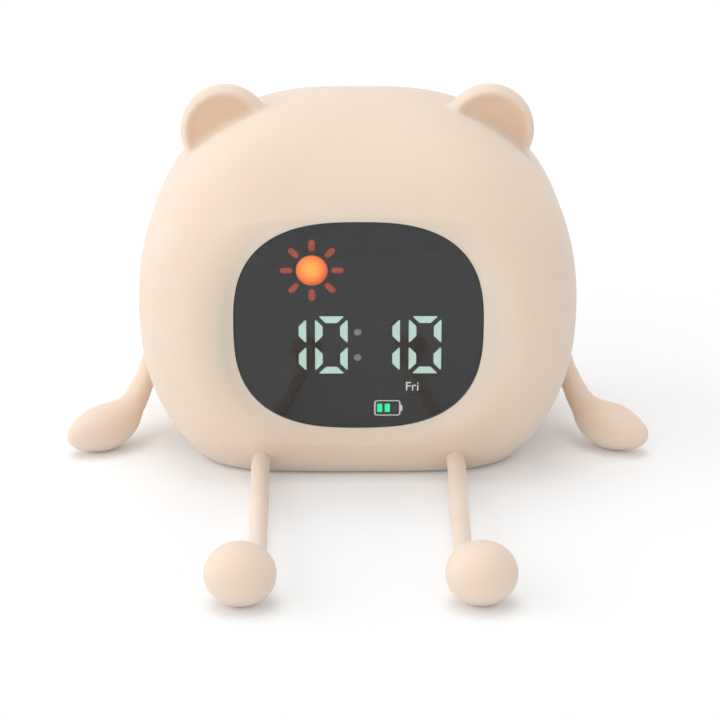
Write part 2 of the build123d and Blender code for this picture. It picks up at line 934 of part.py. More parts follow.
def make_board_screws():
    """The four screws of the main board."""
    screws = []
    for x in (-main_boss_x, main_boss_x):
        for z in (-main_boss_z, main_boss_z):
            length = board_thickness + boss_screw_length / 2
            screws.append(make_screw(x, panel_height + z, main_board_front_y, length, 1))
    return Compound(screws)


def board_chip(x, z, side, thickness):
    """A square chip on the main board's front."""
    chip = Pos(x, panel_height + z) * Rectangle(side, side)
    return slab(chip, main_board_front_y - thickness, main_board_front_y)


def make_main_chips():
    """The larger parts on the main board's front: two chips, a coil and a can."""
    processor = board_chip(processor_x, processor_z, processor_side, processor_thickness)
    charger = board_chip(charger_x, charger_z, charger_side, charger_thickness)
    coil = board_chip(coil_x, coil_z, coil_side, coil_thickness)
    can = depth_rod(can_radius, can_x, panel_height + can_z, main_board_front_y - can_length, main_board_front_y)
    return Compound([processor, charger, coil, can])


def make_tap_sensor():
    """The small can that feels a pat on the clock's head."""
    y = main_board_front_y - sensor_radius
    z = panel_height + main_board_half_height - 2 * sensor_radius
    return rod(sensor_radius, (-sensor_length / 2, y, z), (sensor_length / 2, y, z))


def make_tact_switches():
    """The five push switches on the main board, one behind each button."""
    switches = []
    for x, z in button_places().values():
        top = main_board_back_y + tact_height
        body = slab(Pos(x, z) * Rectangle(tact_side, tact_side), main_board_back_y, top)
        switches.append(body + depth_rod(plunger_radius, x, z, top, top + plunger_height))
    return Compound(switches)


def make_usb_socket():
    """The charging socket: a thin round-ended metal shell with a tongue."""
    place = Pos(usb_x, panel_height + usb_z)
    mouth = panel_face_y - usb_set_back
    shell = SlotOverall(usb_width, usb_height)
    room = SlotOverall(usb_width - 2 * usb_wall, usb_height - 2 * usb_wall)
    back = main_board_back_y + usb_height
    socket = slab(place * shell, main_board_back_y, mouth) - slab(place * room, back, mouth)
    tongue = Rectangle(usb_width - usb_height, usb_tongue_thickness)
    return socket + slab(place * tongue, back - usb_wall, mouth - usb_wall)


def make_speaker():
    """The small speaker behind the grille: gasket, frame, cone and magnet."""
    place = Pos(speaker_x, panel_height + speaker_z)
    gasket_y = panel_seat_y - gasket_thickness
    frame_y = gasket_y - speaker_depth
    ring = Circle(speaker_radius) - Circle(speaker_radius - speaker_rim)
    gasket = slab(place * ring, gasket_y, panel_seat_y)
    frame = slab(place * Circle(speaker_radius), frame_y, gasket_y)
    frame -= slab(place * Circle(speaker_radius - speaker_wall), frame_y + speaker_wall, gasket_y)
    ledge = Circle(speaker_radius - speaker_wall / 2) - Circle(speaker_radius - speaker_rim)
    frame += slab(place * ledge, frame_y, gasket_y - cone_thickness)
    cone = slab(place * Circle(speaker_radius - speaker_wall - fit_gap), gasket_y - cone_thickness, gasket_y)
    dome_base = speaker_radius * cone_dome_share
    dome_radius = (dome_base**2 + cone_dome_height**2) / (2 * cone_dome_height)
    dome_y = gasket_y - dome_radius + cone_dome_height
    dome = Pos(speaker_x, dome_y, panel_height + speaker_z) * Sphere(dome_radius)
    inside = place * Circle(speaker_radius - speaker_rim - fit_gap)
    cone += dome & slab(inside, gasket_y - cone_thickness / 2, panel_seat_y - fit_gap)
    magnet = slab(place * Circle(magnet_radius), frame_y - magnet_depth, frame_y)
    return {
        "speaker_gasket": gasket,
        "speaker_frame": frame,
        "speaker_cone": cone,
        "speaker_magnet": magnet,
    }


def make_battery():
    """The battery cell, its cradle on the shell's floor and the strap over it."""
    axis_z = room_floor + cradle_floor + cell_radius + fit_gap
    half = cell_length / 2
    cell = rod(cell_radius, (-half, 0, axis_z), (half, 0, axis_z))
    cell = fillet(cell.edges().filter_by(GeomType.CIRCLE), cell_cap_height)
    cell += rod(cell_cap_radius, (half, 0, axis_z), (half + cell_cap_height, 0, axis_z))
    room_half = half + cell_cap_height + fit_gap
    bore = rod(cell_radius + fit_gap, (-half - fit_gap, 0, axis_z), (room_half, 0, axis_z))
    length = half + room_half + fit_gap + 2 * cradle_end
    width = 2 * (cell_radius + cradle_wall)
    middle = (room_half - half - fit_gap) / 2
    cradle = Pos(middle, 0, room_floor + cradle_height / 2) * Box(length, width, cradle_height)
    cradle -= bore
    ends = ((-strap_width / 2, 0, axis_z), (strap_width / 2, 0, axis_z))
    ring = rod(cell_radius + fit_gap + strap_thickness, *ends)
    strap = (ring - bore) & (Pos(0, 0, room_floor + cradle_height + far / 2) * Box(far, far, far))
    return {"battery_cell": cell, "battery_cradle": cradle, "battery_strap": strap}


def leg_exit(side):
    """Where a leg leaves the skin, and the skin's outward normal there."""
    start = Vector(side * leg_exit_x, 0, leg_exit_height)
    point = start + Vector(0, -1, 0) * reach(start, Vector(0, -1, 0))
    return point, surface_normal(point)


def leg_pivot(side):
    """The middle of the ball that a leg bends about."""
    point, normal = leg_exit(side)
    return point + normal * (leg_root_radius + limb_gap + limb_stand_off)


def wall_depth(point, normal):
    """How far in from a point of the skin a plug's face lies, clear of the shell's inside."""
    near = 0.0
    beyond = 2 * room_inset
    for _ in range(search_steps):
        middle = (near + beyond) / 2
        place = point - normal * middle
        if body_level(place.X, place.Y, place.Z, room_inset) > 1:
            near = middle
        else:
            beyond = middle
    return near + head_plug_gap


def leg_neck(side, radius):
    """The straight stretch of a leg that runs through the skin and the shell."""
    point, normal = leg_exit(side)
    inside = point - normal * (wall_depth(point, normal) + fit_gap)
    return rod(radius, inside, point + normal * limb_stand_off)


def make_leg_root(side):
    """A leg's fixed end: its neck in the wall and the mushroom plug inside."""
    point, normal = leg_exit(side)
    inside = point - normal * wall_depth(point, normal)
    plug = rod(head_plug_radius, inside - normal * head_plug_thickness, inside)
    return leg_neck(side, leg_root_radius) + plug


def round_end(radius, centre, towards):
    """Half a ball that closes a limb's end: its flat side faces the way that the limb runs."""
    ball = Plane(origin=centre, z_dir=towards) * Sphere(radius)
    return split(ball, bisect_by=Plane(origin=centre, z_dir=towards), keep=Keep.BOTTOM)


def make_leg(side):
    """A leg's free length: a round end, a tapering rod and the foot."""
    pivot = leg_pivot(side)
    end = Vector(side * leg_foot_joint[0], leg_foot_joint[1], leg_foot_joint[2])
    run = end - pivot
    shaft = Plane(origin=pivot, z_dir=run) * tapering_rod(leg_root_radius, leg_end_radius, run.length)
    foot = Pos(side * foot_centre_x, foot_centre_y, foot_half_height) * egg(foot_half_width, foot_half_height)
    return foot + [shaft, round_end(leg_root_radius, pivot, run)]


def egg(half_length, half_width):
    """A round body about the X axis, longer along it than across."""
    return scale(Sphere(half_width), by=(half_length / half_width, 1, 1))


def tapering_rod(start_radius, end_radius, length):
    """A tapering rod that stands on the ground plane."""
    return Pos(0, 0, length / 2) * Cone(start_radius, end_radius, length)


def arm_exit(side):
    """The point of the skin that an arm's pivot stands off from, and the normal there."""
    start = Vector(0, arm_exit_y, arm_exit_height)
    outward = Vector(side, 0, 0)
    point = start + outward * reach(start, outward)
    return point, surface_normal(point)


def arm_pivot(side):
    """The middle of the ball that an arm bends about."""
    point, normal = arm_exit(side)
    return point + normal * (arm_root_radius + limb_gap + fit_gap)


def arm_peg_ends(side):
    """The peg that holds an arm: its ends, outside and in the room, and its direction."""
    top = Vector(side * arm_shoulder_top[0], *arm_shoulder_top[1:])
    pivot = arm_pivot(side)
    share = (arm_peg_height - pivot.Z) / (top.Z - pivot.Z)
    outside = pivot + (top - pivot) * share
    start = Vector(0, outside.Y, arm_peg_height)
    outward = Vector(side, 0, 0)
    point = start + outward * reach(start, outward)
    normal = surface_normal(point)
    return point + normal * arm_peg_radius / 2, point - normal * wall_depth(point, normal), normal


def arm_peg(side, radius):
    """The straight peg of an arm through the skin and the shell."""
    outside, inside, normal = arm_peg_ends(side)
    return rod(radius, inside - normal * fit_gap, outside)


def make_arm_root(side):
    """An arm's fixed end: the shoulder against the skin, its peg and the mushroom plug."""
    pivot = arm_pivot(side)
    top = Vector(side * arm_shoulder_top[0], *arm_shoulder_top[1:])
    up = (top - pivot).normalized()
    lower = pivot + up * (arm_root_radius + limb_gap)
    lower_plane = Plane(origin=lower, z_dir=up)
    top_plane = Plane(origin=top, z_dir=up)
    shoulder = loft([lower_plane * Circle(arm_root_radius), top_plane * Circle(arm_shoulder_radius)])
    shoulder -= body_solid(0, foot_gap)
    outside, inside, normal = arm_peg_ends(side)
    plug = rod(head_plug_radius, inside - normal * head_plug_thickness, inside)
    return shoulder + arm_peg(side, arm_peg_radius) + plug


def make_arm(side):
    """An arm's free length: a ball end, a swelling rod and the hand."""
    pivot = arm_pivot(side)
    centres = [pivot]
    radii = [arm_root_radius]
    for x, y, z, radius in arm_stations:
        centres.append(Vector(side * x, y, z))
        radii.append(radius)
    direction = Vector(side * hand_direction[0], *hand_direction[1:]).normalized()
    sections = []
    for step, (centre, radius) in enumerate(zip(centres, radii)):
        ahead = centres[step + 1] if step + 1 < len(centres) else centre + direction
        behind = centres[step - 1] if step > 0 else centre
        sections.append(Plane(origin=centre, z_dir=ahead - behind) * Circle(radius))
    hand_middle = (side * hand_centre[0], *hand_centre[1:])
    hand_plane = Plane(origin=hand_middle, x_dir=direction, z_dir=direction.cross(Vector(0, 0, 1)))
    hand = hand_plane * egg(hand_half_length, hand_half_width)
    return hand + [loft(sections), round_end(arm_root_radius, pivot, centres[1] - pivot)]


def make_nodes():
    """Every node of the clock, by name."""
    front_shell, rear_shell = make_shells()
    nodes = {
        "silicone_skin": make_skin(),
        "front_shell": front_shell,
        "rear_shell": rear_shell,
        "shell_screws": make_shell_screws(),
        "base_plate": make_base_plate(),
        "base_pad": make_base_pad(),
        "base_screws": make_base_screws(),
        "display_lens": make_lens(),
        "window_tape": make_tape(),
        "display_board": make_display_board(),
        "display_screws": make_display_screws(),
        "rear_panel": make_rear_panel(),
        "panel_screws": make_panel_screws(),
        "main_board": make_main_board(),
        "board_screws": make_board_screws(),
        "main_chips": make_main_chips(),
        "tap_sensor": make_tap_sensor(),
        "tact_switches": make_tact_switches(),
        "usb_socket": make_usb_socket(),
        "switch_body": make_switch_body(),
        "power_slider": make_slider(),
    }
    nodes.update(make_display())
    nodes.update(make_light())
    nodes.update(make_speaker())
    nodes.update(make_battery())
    for name, (x, z) in button_places().items():
        nodes[f"button_{name}"] = make_button(x, z)
    for name, side in (("left", -1), ("right", 1)):
        nodes[f"{name}_leg"] = make_leg(side)
        nodes[f"{name}_leg_root"] = make_leg_root(side)
        nodes[f"{name}_arm_root"] = make_arm_root(side)
    nodes["right_arm"] = make_arm(1)
    nodes["left_arm"] = mirror(make_arm(1), Plane.YZ)
    return nodes


os.makedirs("parts", exist_ok=True)
for node, shape in make_nodes().items():
    export_step(shape, f"parts/{node}.step")
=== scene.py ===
import json
import math
import bmesh
import bpy
import numpy as np
from mathutils import Matrix, Vector


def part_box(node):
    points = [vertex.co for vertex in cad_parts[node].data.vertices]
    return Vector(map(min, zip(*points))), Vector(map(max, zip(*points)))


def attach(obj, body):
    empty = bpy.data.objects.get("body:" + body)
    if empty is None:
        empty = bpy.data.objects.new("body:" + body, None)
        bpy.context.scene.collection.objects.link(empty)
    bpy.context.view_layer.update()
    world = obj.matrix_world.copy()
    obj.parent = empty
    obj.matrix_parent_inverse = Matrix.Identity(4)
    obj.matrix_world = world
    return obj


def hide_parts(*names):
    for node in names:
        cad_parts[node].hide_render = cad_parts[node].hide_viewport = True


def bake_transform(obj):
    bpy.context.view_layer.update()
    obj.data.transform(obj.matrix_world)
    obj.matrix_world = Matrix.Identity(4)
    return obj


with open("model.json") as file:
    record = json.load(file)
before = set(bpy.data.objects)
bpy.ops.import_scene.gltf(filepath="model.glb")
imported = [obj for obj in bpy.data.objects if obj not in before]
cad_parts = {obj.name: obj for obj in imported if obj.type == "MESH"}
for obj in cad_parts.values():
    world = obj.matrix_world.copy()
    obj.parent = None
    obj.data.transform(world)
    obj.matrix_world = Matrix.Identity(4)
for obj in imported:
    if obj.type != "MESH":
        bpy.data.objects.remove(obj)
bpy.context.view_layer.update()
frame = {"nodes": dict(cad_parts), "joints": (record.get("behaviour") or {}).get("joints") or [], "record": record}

# ---------------------------------------------------------------------------
# Sizes, in millimetres as in the model; MM turns them to metres.
# Powers shape rounded outlines: 2 is an ellipse, and higher ones are squarer.
# ---------------------------------------------------------------------------
MM = 0.001

# The body: a rounded box, widest at one height, with a crown above and a keel below it.
body_half_width = 56.5
body_half_depth = 46.0
widest_height = 39.7
crown_height = 52.4
keel_depth = 54.4
crown_power = 2.3
keel_power = 2.2
plan_power = 4.0
foot_gap = 0.6
floor_round = 0.5
skin_wall = 3.0
crown_wall_share = 0.8
skin_floor_top = 2.6
skin_voxel = 0.85

# The ears: upright round cushions. Their dished fronts are warmer and darker: partly moulded tone,
# partly painted shade of the dish. These ranges say where it fades out away from the ear's middle,
# and where it fades in ahead of it and out from the body.
ear_radius = 11.5
ear_thickness = 9.0
ear_round = 3.6
ear_half_spacing = 33.8
ear_height = 83.2
ear_setback = -4.0
ear_fillet = 1.8
ear_dish_inner = 8.2
ear_dish_outer = 10.4
ear_dish_depth = 1.3
ear_tone_and_shade_radii = (8.4, 10.7)
ear_tone_and_shade_ahead = (1.0, 2.5)
ear_tone_and_shade_foot = (0.0, 1.7)

# The openings for the window, the back panel and the base plate. The first two lie in a flared
# dip, and round each a bead of the skin reaches in to the window's tape or the panel's seat.
window_power = 2.7
window_rim = 0.15
window_flare = 1.25
window_soften = 6.0
panel_power = 2.6
panel_thickness = 2.0
panel_rim = 0.1
panel_flare = 1.1
panel_soften = 3.0
opening_gap = 0.12
opening_cut_depth = 30.0
cutter_reach = 10.0
bead_width = 2.5
bead_gap = 0.1
base_power = 4.0
base_gap = 0.15
base_cut_height = 6.0

# The limbs: round rods that end in an egg-shaped foot or hand.
limb_voxel = 0.5
foot_across = 26.7
foot_half_length = 8.1
foot_half_width = 7.3
foot_blend = 2.2
hand_middle = (67.3, -16.4, 5.99)
hand_direction = (0.826, -0.549, -0.126)
hand_half_length = 9.8
hand_half_width = 5.45
hand_blend = 4.0

# The window's plate, the print on its edge, the border print in the gap behind it, and the
# weekday's lettering.
plate_clearance = 0.1
plate_bevel = 0.12
plate_sharp_degrees = 25
edge_print_gap = 0.02
edge_print_setback = 0.1
edge_print_thickness = 0.06
border_width = 1.9
border_inset = 0.05
border_ahead = 0.07
border_thickness = 0.04
film_bevel = 0.1
letter_size = 3.25
letter_half_thickness = 0.06
letter_offset = -0.005
letter_lift = 0.1

# The signs printed on the back.
mark_thickness = 0.06
mark_lift = 0.02
power_mark_drop = 3.6

# Light and camera. The guides' lamps are raised by what the smoked window takes away. The
# camera's dip and swing turn it down and to the right of the height that it circles.
window_dimming = 1.5
ambient = 0.67
floor_glow = 0.1
floor_half_width = 3000.0
camera_lens = 106.15
camera_distance = 560.0
camera_target_height = 50.0
camera_elevation = 16.0
camera_azimuth = -0.4
camera_dip = 2.99
camera_swing = 0.075


def box_mm(node):
    """A CAD node's lowest and highest corners, in millimetres."""
    low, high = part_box(node)
    return np.array(low) / MM, np.array(high) / MM


lens_low, lens_high = box_mm("display_lens")
panel_low, panel_high = box_mm("rear_panel")
base_low, base_high = box_mm("base_plate")
sun_low, sun_high = box_mm("sun_disc_guide")
tape_back = box_mm("window_tape")[1][1]
panel_seat = panel_high[1] - panel_thickness
joints = {joint["name"]: joint for joint in frame["joints"]}

# ---------------------------------------------------------------------------
# Materials
# ---------------------------------------------------------------------------


def linear(hex_colour):
    """An sRGB hex colour as linear red, green, blue and full alpha."""
    channels = [int(hex_colour[start:start + 2], 16) / 255 for start in (1, 3, 5)]
    return [c / 12.92 if c <= 0.04045 else ((c + 0.055) / 1.055) ** 2.4 for c in channels] + [1.0]


def add_node(tree, kind, inputs=None, **settings):
    """Adds a node: settings are its own fields, inputs are values or the sockets that feed it."""
    node = tree.nodes.new(kind)
    for field, value in settings.items():
        setattr(node, field, value)
    for name, value in (inputs or {}).items():
        if isinstance(value, bpy.types.NodeSocket):
            tree.links.new(value, node.inputs[name])
        else:
            node.inputs[name].default_value = value
    return node


def new_material(name, **inputs):
    """A material whose Principled shader has these inputs, its node tree and that shader."""
    material = bpy.data.materials.new(name)
    material.use_nodes = True
    shader = material.node_tree.nodes["Principled BSDF"]
    for socket, value in inputs.items():
        shader.inputs[socket.replace("_", " ")].default_value = value
    return material, material.node_tree, shader


def object_place(tree):
    """The Object coordinates' socket."""
    return add_node(tree, "ShaderNodeTexCoord").outputs["Object"]


def grain(tree, shader, place, size_mm, strength, depth_mm):
    """A fine bump: size_mm is the width of one grain, depth_mm its height."""
    noise = add_node(
        tree, "ShaderNodeTexNoise", {"Vector": place, "Scale": 1 / (size_mm * MM), "Detail": 3.0}
    )
    bump = add_node(
        tree,
        "ShaderNodeBump",
        {"Height": noise.outputs["Fac"], "Strength": strength, "Distance": depth_mm * MM},
    )
    tree.links.new(bump.outputs["Normal"], shader.inputs["Normal"])
    return noise


def mottle(tree, shader, place, colours, size_mm, socket="Base Color", spread=(0.35, 0.65)):
    """A soft drift between two colours, with patches of size_mm."""
    noise = add_node(
        tree, "ShaderNodeTexNoise", {"Vector": place, "Scale": 1 / (size_mm * MM), "Detail": 2.0}
    )
    ramp = add_node(tree, "ShaderNodeValToRGB", {"Fac": noise.outputs["Fac"]})
    for element, position, colour in zip(ramp.color_ramp.elements, spread, colours):
        element.position = position
        element.color = linear(colour)
    tree.links.new(ramp.outputs["Color"], shader.inputs[socket])
    return ramp


def soft_silicone():
    """Moulded silicone with a soft-touch coat: matt, slightly see-through, warm where it is thin.

    The ears' dished fronts are mixed to a warmer, darker colour, partly moulded tone and partly painted shade of
    the dish, where the mesh's ear marks say so.
    """
    material, tree, shader = new_material(
        "soft_touch_silicone_moulded",
        Roughness=0.62,
        IOR=1.41,
        Specular_IOR_Level=0.35,
        Subsurface_Weight=0.35,
        Subsurface_Radius=(1.0, 0.55, 0.35),
        Subsurface_Scale=3 * MM,
        Sheen_Weight=0.12,
        Sheen_Roughness=0.5,
    )
    place = object_place(tree)
    ramp = mottle(tree, shader, place, ("#ecd8c7", "#eedbc9"), size_mm=24.0)
    # Painted shade: the ears' dished fronts are mixed towards #e7cab0, warmer and darker, partly moulded tone and
    # partly the shade of the dish.
    front = add_node(tree, "ShaderNodeAttribute", attribute_name="ear_front_tone_and_shade")
    warm = add_node(
        tree,
        "ShaderNodeMix",
        {"Factor": front.outputs["Fac"], "A": ramp.outputs["Color"], "B": linear("#e7cab0")},
        data_type="RGBA",
    )
    tree.links.new(warm.outputs["Result"], shader.inputs["Base Color"])
    grain(tree, shader, place, size_mm=0.35, strength=0.12, depth_mm=0.02)
    return material


def moulded_plastic(name, colours, roughness, grain_mm=0.3, strength=0.15, subsurface=0.0):
    """Injection-moulded plastic with a spark-eroded texture: an even colour with a faint drift."""
    material, tree, shader = new_material(
        name,
        Roughness=roughness,
        IOR=1.5,
        Subsurface_Weight=subsurface,
        Subsurface_Radius=(1.0, 0.9, 0.75),
        Subsurface_Scale=2 * MM,
    )
    place = object_place(tree)
    mottle(tree, shader, place, colours, size_mm=9.0)
    grain(tree, shader, place, grain_mm, strength, depth_mm=0.03)
    return material


def smoked_acrylic():
    """Cast acrylic, dyed grey and polished: clear, but dark, with a mirror image over it."""
    return new_material(
        "smoked_acrylic_polished",
        Base_Color=linear("#b8b7b6"),
        Roughness=0.03,
        IOR=1.51,
        Transmission_Weight=1.0,
    )[0]


def printed_black():
    """Black screen print on film: dense and matt, so that only the lamps show behind the window."""
    material, tree, shader = new_material(
        "black_screen_print_on_film", Roughness=0.8, Specular_IOR_Level=0.0
    )
    mottle(tree, shader, object_place(tree), ("#060606", "#080808"), size_mm=3.0)
    return material


def lit_guide(name, colours, strength=1.0, size_mm=1.2):
    """A clear acrylic guide with a diffuse lamp behind it: it glows, slightly unevenly."""
    material, tree, shader = new_material(
        name,
        Base_Color=linear("#0a0a0a"),
        Roughness=0.8,
        Specular_IOR_Level=0.0,
        Emission_Strength=strength * window_dimming,
    )
    mottle(tree, shader, object_place(tree), colours, size_mm, "Emission Color", (0.2, 0.8))
    return material


def unlit_guide():
    """A clear acrylic guide over a dark lamp: it can't be told from the print round it."""
    material, tree, shader = new_material(
        "acrylic_guide_unlit", Roughness=0.8, Specular_IOR_Level=0.0
    )
    mottle(tree, shader, object_place(tree), ("#080808", "#0a0a0a"), size_mm=3.0)
    return material


def sun_glow(centre, radius, strength):
    """The sun's guide: an amber lamp behind clear acrylic, brightest in the middle."""
    material, tree, shader = new_material(
        "acrylic_guide_amber_lamp",
        Base_Color=linear("#0a0a0a"),
        Roughness=0.8,
        Specular_IOR_Level=0.0,
        Emission_Strength=strength * window_dimming,
    )
    offset = add_node(
        tree,
        "ShaderNodeVectorMath",
        {0: object_place(tree), 1: tuple(centre * MM)},
        operation="SUBTRACT",
    )
    flat = add_node(
        tree,
        "ShaderNodeVectorMath",
        {0: offset.outputs["Vector"], 1: (1.0, 0.0, 1.0)},
        operation="MULTIPLY",
    )
    length = add_node(
        tree, "ShaderNodeVectorMath", {0: flat.outputs["Vector"]}, operation="LENGTH"
    )
    share = add_node(
        tree, "ShaderNodeMapRange", {"Value": length.outputs["Value"], "From Max": radius * MM}
    )
    ramp = add_node(tree, "ShaderNodeValToRGB", {"Fac": share.outputs["Result"]})
    stops = ramp.color_ramp.elements
    tones = {0.0: "#ffb04a", 0.45: "#ff9a3a", 0.8: "#f07428", 1.0: "#cb5220"}
    for position, colour in tones.items():
        ends = {0.0: stops[0], 1.0: stops[-1]}
        stop = ends[position] if position in ends else stops.new(position)
        stop.position = position
        stop.color = linear(colour)
    tree.links.new(ramp.outputs["Color"], shader.inputs["Emission Color"])
    return material


def circuit_board(name, colours):
    """Glass-fibre board under a solder mask: glossy, with the weave and the tracks just showing."""
    material, tree, shader = new_material(name, Roughness=0.35, IOR=1.55)
    place = object_place(tree)
    ramp = mottle(tree, shader, place, colours, size_mm=2.5, spread=(0.45, 0.55))
    # The pattern's cells are half as wide and a quarter as tall as its unit: 3 by 1.5 mm.
    unit_mm = 6
    tracks = add_node(
        tree,
        "ShaderNodeTexBrick",
        {"Vector": place, "Scale": 1 / (unit_mm * MM), "Mortar Size": 0.04, "Mortar Smooth": 0.1},
    )
    mix = add_node(
        tree,
        "ShaderNodeMix",
        {"Factor": 0.35, "A": ramp.outputs["Color"], "B": tracks.outputs["Color"]},
        data_type="RGBA",
        blend_type="MULTIPLY",
    )
    tree.links.new(mix.outputs["Result"], shader.inputs["Base Color"])
    return material


def plated_steel(name, colour, roughness, grain_mm):
    """Zinc or nickel plated steel: bright metal with fine turning or rolling marks."""
    material, tree, shader = new_material(
        name, Metallic=1.0, Base_Color=linear(colour), Roughness=roughness
    )
    noise = grain(tree, shader, object_place(tree), grain_mm, strength=0.15, depth_mm=0.01)
    wear = add_node(
        tree,
        "ShaderNodeMapRange",
        {"Value": noise.outputs["Fac"], "To Min": roughness * 0.8, "To Max": roughness * 1.4},
    )
    tree.links.new(wear.outputs["Result"], shader.inputs["Roughness"])
    return material


def woven_strap():
    """Woven polyester tape: black, with slanting ribs a little over half a millimetre apart."""
    material, tree, shader = new_material("polyester_tape_woven", Roughness=0.85, Sheen_Weight=0.3)
    # At a scale of 1 the slanting waves are 0.36 apart.
    rib_mm = 0.6
    scale = 0.36 / (rib_mm * MM)
    ribs = add_node(
        tree,
        "ShaderNodeTexWave",
        {"Vector": object_place(tree), "Scale": scale, "Distortion": 0.5},
        wave_type="BANDS",
        bands_direction="DIAGONAL",
    )
    ramp = add_node(tree, "ShaderNodeValToRGB", {"Fac": ribs.outputs["Fac"]})
    ramp.color_ramp.elements[0].color = linear("#0d0d0d")
    ramp.color_ramp.elements[1].color = linear("#2a2a2a")
    tree.links.new(ramp.outputs["Color"], shader.inputs["Base Color"])
    bump = add_node(
        tree,
        "ShaderNodeBump",
        {"Height": ribs.outputs["Fac"], "Strength": 0.4, "Distance": 0.1 * MM},
    )
    tree.links.new(bump.outputs["Normal"], shader.inputs["Normal"])
    return material


silicone = soft_silicone()
sun_hot_spot = (sun_low + sun_high) / 2 + np.array((-0.3, 0.0, 0.3))
sun_radius = (sun_high[0] - sun_low[0]) / 2
finishes = {
    "silicone": silicone,
    # The display: a smoked window over black print, with glowing guides in the print's openings.
    "window": smoked_acrylic(),
    "tape": moulded_plastic("black_acrylic_foam_tape", ("#0d0d0d", "#151515"), roughness=0.8),
    "mask": printed_black(),
    "lit_segment": lit_guide("acrylic_guide_mint_lamp", ("#d2f7e9", "#dcfdf1")),
    "dark_segment": unlit_guide(),
    "colon": lit_guide("acrylic_guide_grey_lamp", ("#7d8a80", "#869389")),
    "sun_disc": sun_glow(sun_hot_spot, sun_radius, strength=1.6),
    "sun_rays": lit_guide("acrylic_guide_dim_amber_lamp", ("#a8361a", "#c24a2b"), size_mm=1.6),
    "weekday": lit_guide("acrylic_guide_white_lamp", ("#eef6f3", "#f8fdfb"), strength=1.1),
    "battery_mark": lit_guide("acrylic_guide_soft_white_lamp", ("#e6e2de", "#f2eeea")),
    "battery_bar": lit_guide(
        "acrylic_guide_green_lamp", ("#00f09a", "#10ffab"), strength=1.35, size_mm=1.0
    ),
    # What carries and feeds the lamps: white mouldings and glossy boards.
    "reflector": moulded_plastic(
        "white_polycarbonate_moulded", ("#efefec", "#f3f3f0"), roughness=0.5
    ),
    "circuit_board": circuit_board("glass_fibre_board_green_mask", ("#0d4a2b", "#115a34")),
    "light_board": circuit_board("glass_fibre_board_white_mask", ("#e8e8e4", "#f0f0ec")),
    "lamp": moulded_plastic("phosphor_lamp_moulded", ("#f0e39a", "#f5eab0"), roughness=0.3),
    # Milky parts let the night light through, so light spreads inside them.
    "milky_shell": moulded_plastic(
        "milky_polypropylene_moulded", ("#efebe1", "#f3efe6"), roughness=0.45, subsurface=0.4
    ),
    "milky_cover": moulded_plastic(
        "opal_polycarbonate_moulded", ("#f3f1ec", "#f7f5f0"), roughness=0.35, subsurface=0.5
    ),
    # Outside parts of ABS: a fine even texture on panel and base, satin buttons.
    "panel": moulded_plastic(
        "abs_spark_eroded", ("#e9d9c4", "#ecdcc8"), roughness=0.55, strength=0.35
    ),
    "button": moulded_plastic(
        "abs_satin_moulded", ("#f3e7d8", "#f6ebdd"), roughness=0.38, grain_mm=0.4, strength=0.06
    ),
    "base": moulded_plastic(
        "abs_spark_eroded_base", ("#e3d2bd", "#e7d7c3"), roughness=0.6, strength=0.35
    ),
    "pad": moulded_plastic(
        "silicone_rubber_pad", ("#d2c6b6", "#d8cdbe"), roughness=0.7, grain_mm=0.5, strength=0.5
    ),
    # Bright plated metal: turned screws, a rolled socket, a drawn can and a magnet.
    "screw": plated_steel("zinc_plated_steel_turned", "#b9babd", roughness=0.32, grain_mm=0.2),
    "socket": plated_steel("nickel_plated_steel_rolled", "#c9c9cc", roughness=0.22, grain_mm=0.4),
    "sensor": plated_steel("nickel_plated_can_drawn", "#c4c5c8", roughness=0.25, grain_mm=0.4),
    "magnet": plated_steel("nickel_plated_magnet", "#a9aaad", roughness=0.3, grain_mm=0.5),
    # Other inside parts: moulded plastic, shrink sleeve, woven tape, film and foam.
    "chip": moulded_plastic("epoxy_chip_body", ("#161616", "#1d1d1d"), roughness=0.5),
    "switch": moulded_plastic("nylon_switch_body", ("#1a1a1a", "#222222"), roughness=0.55),
    "cell_wrap": moulded_plastic(
        "shrink_sleeve_pvc", ("#1d5aa6", "#2263b2"), roughness=0.25, grain_mm=0.6, strength=0.1
    ),
    "cradle": moulded_plastic("white_abs_cradle", ("#e9e8e2", "#efeee9"), roughness=0.5),
    "strap": woven_strap(),
    "speaker_frame": moulded_plastic(
        "black_abs_speaker_frame", ("#151515", "#1d1d1d"), roughness=0.5
    ),
    "speaker_cone": moulded_plastic(
        "polyester_film_cone", ("#3a342c", "#463f35"), roughness=0.3, grain_mm=0.8, strength=0.1
    ),
    "foam": moulded_plastic(
        "polyurethane_foam_gasket",
        ("#1c1c1c", "#2a2a2a"),
        roughness=0.95,
        grain_mm=0.4,
        strength=0.8,
    ),
}
ink = moulded_plastic("warm_grey_pad_print", ("#8d7f72", "#94877a"), roughness=0.6)

for entry in frame["record"]["subparts"]:
    mesh = frame["nodes"][entry["node"]].data
    mesh.materials.clear()
    mesh.materials.append(finishes[entry["material_slot"]])

# ---------------------------------------------------------------------------
# Mesh helpers
# ---------------------------------------------------------------------------


def new_piece(name, bm, material):
    """A finished mesh, drawn in millimetres, as an object in the scene."""
    bmesh.ops.scale(bm, vec=(MM, MM, MM), verts=bm.verts)
    mesh = bpy.data.meshes.new(name)
    bm.to_mesh(mesh)
    bm.free()
    mesh.materials.append(material)
    piece = bpy.data.objects.new(name, mesh)
    bpy.context.scene.collection.objects.link(piece)
    return piece


def settle(piece):
    """Bakes a piece's modifiers into its mesh."""
    graph = bpy.context.evaluated_depsgraph_get()
    mesh = bpy.data.meshes.new_from_object(piece.evaluated_get(graph))
    piece.modifiers.clear()
    piece.data = mesh


